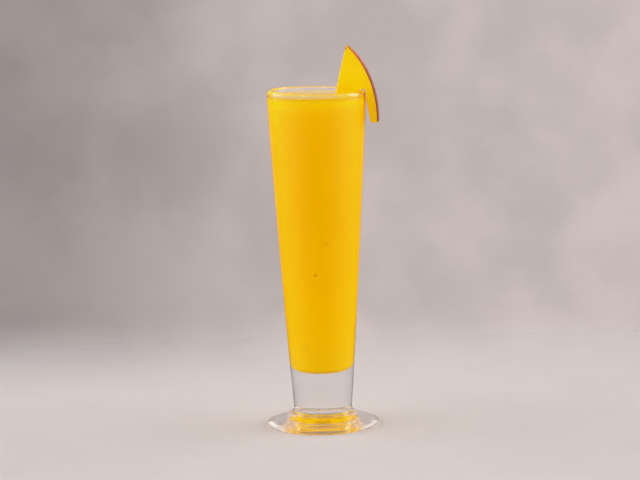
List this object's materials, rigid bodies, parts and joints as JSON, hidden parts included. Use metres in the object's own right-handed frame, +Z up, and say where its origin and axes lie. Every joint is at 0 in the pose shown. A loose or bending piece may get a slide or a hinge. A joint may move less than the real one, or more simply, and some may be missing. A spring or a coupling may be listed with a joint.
{
  "type": "glass of mango lassi",
  "caption": "Tall footed pilsner glass filled almost to the rim with yellow mango lassi, with a slit mango slice astride the rim.",
  "frame": {"origin": "centre of the flat underside of the glass's foot, on the glass's axis", "axes": "+Z up the glass's axis; the mango slice hangs over the rim near +X; the side shown to a viewer is -Y"},
  "size_m": [0.0835, 0.0788, 0.2692],
  "materials": {
    "clear_glass": "clear, smooth, fire-polished",
    "mango_lassi": "opaque thick drink, wet sheen",
    "mango_flesh": "moist ripe flesh with red-brown skin"
  },
  "bodies": {
    "root": {"glass": "clear_glass", "lassi": "mango_lassi", "mango_slice": "mango_flesh"}
  },
  "joints": []
}
